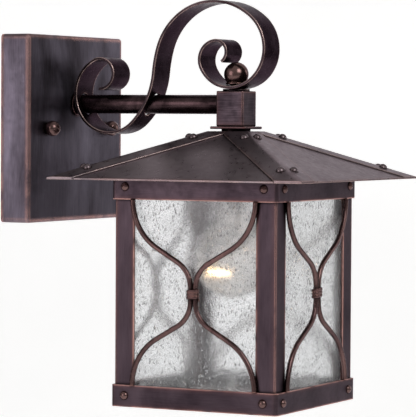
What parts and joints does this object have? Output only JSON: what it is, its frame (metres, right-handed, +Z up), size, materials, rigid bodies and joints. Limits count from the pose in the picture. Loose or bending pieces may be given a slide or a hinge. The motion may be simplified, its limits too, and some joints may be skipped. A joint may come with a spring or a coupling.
{
  "type": "outdoor wall lantern",
  "caption": "Wall lantern with a square wall pan, round arm, flat S scroll, hipped riveted roof and a square glass cage with bent rods on each side, lit by a bulb.",
  "frame": {"origin": "centre of the wall pan's back plane, on the crossbar's back face, against the wall", "axes": "+X to the right along the wall as seen facing it, +Y into the wall, +Z up; the lantern stands out along -Y"},
  "size_m": [0.2032, 0.2616, 0.2971],
  "materials": {
    "bronze_sheet": "oil-rubbed bronze over steel, satin, copper wear on the edges",
    "bronze_strap": "oil-rubbed bronze over steel strap and tube, satin",
    "bronze_turned": "oil-rubbed bronze over turned brass, reddish and a little glossier",
    "zinc_steel": "zinc-plated steel",
    "brass": "plain brass",
    "nickel": "nickel-plated, dull",
    "seeded_glass": "clear seeded glass",
    "bulb_glass": "thin clear glass, lit warm",
    "porcelain": "white glazed porcelain",
    "foam": "closed-cell foam rubber",
    "lead_black": "insulated lead",
    "lead_green": "insulated earth lead",
    "connector_orange": "moulded twist-on connector"
  },
  "bodies": {
    "fixture": {"arm_collar": "bronze_strap", "arm_lock_nut": "zinc_steel", "arm_tube": "bronze_strap", "bottom_band": "bronze_sheet", "cage_rivets": "bronze_turned", "corner_post_1": "bronze_sheet", "corner_post_2": "bronze_sheet", "corner_post_3": "bronze_sheet", "corner_post_4": "bronze_sheet", "crossbar": "zinc_steel", "earth_lead": "lead_green", "finial_bolt": "zinc_steel", "glass_clips": "zinc_steel", "glass_pane_1": "seeded_glass", "glass_pane_2": "seeded_glass", "glass_pane_3": "seeded_glass", "glass_pane_4": "seeded_glass", "grille_rod_1a": "bronze_turned", "grille_rod_1b": "bronze_turned", "grille_rod_2a": "bronze_turned", "grille_rod_2b": "bronze_turned", "grille_rod_3a": "bronze_turned", "grille_rod_3b": "bronze_turned", "grille_rod_4a": "bronze_turned", "grille_rod_4b": "bronze_turned", "ground_screw": "lead_green", "hip_strip_1": "bronze_sheet", "hip_strip_2": "bronze_sheet", "hip_strip_3": "bronze_sheet", "hip_strip_4": "bronze_sheet", "holder_body": "porcelain", "holder_cap": "bronze_strap", "holder_contact": "brass", "holder_leads": "lead_black", "holder_shell": "brass", "hub_block": "bronze_sheet", "mounting_studs": "zinc_steel", "neck_ring": "bronze_strap", "nipple_nut": "zinc_steel", "pan_gasket": "foam", "rod_collar_1": "bronze_turned", "rod_collar_2": "bronze_turned", "rod_collar_3": "bronze_turned", "rod_collar_4": "bronze_turned", "roof_nipple": "zinc_steel", "roof_rivets": "bronze_turned", "roof_shell": "bronze_sheet", "scroll_spacer": "bronze_strap", "scroll_strap": "bronze_strap", "square_plate": "bronze_sheet", "stud_nuts": "zinc_steel", "top_band": "bronze_sheet", "wall_pan": "bronze_sheet", "wire_connectors": "connector_orange"},
    "cap_nut_left": {"cap_nut_left": "bronze_turned"},
    "cap_nut_right": {"cap_nut_right": "bronze_turned"},
    "ball_finial": {"ball_finial": "bronze_turned"},
    "bulb": {"bulb_globe": "bulb_glass", "bulb_cap": "nickel", "bulb_stem": "bulb_glass"}
  },
  "joints": [
    {"name": "cap_nut_left_turn", "type": "hinge", "parent": "fixture", "child": "cap_nut_left", "pos_m": [-0.04445, -0.0293, 0], "axis": [0, -1, 0], "continuous": true},
    {"name": "cap_nut_right_turn", "type": "hinge", "parent": "fixture", "child": "cap_nut_right", "pos_m": [0.04445, -0.0293, 0], "axis": [0, -1, 0], "continuous": true},
    {"name": "ball_finial_turn", "type": "hinge", "parent": "fixture", "child": "ball_finial", "pos_m": [0, -0.16, 0.0406], "axis": [0, 0, 1], "continuous": true},
    {"name": "bulb_slide", "type": "slide", "parent": "fixture", "child": "bulb", "axis": [0, 0, -1], "range_m": [0, 0.19]}
  ]
}
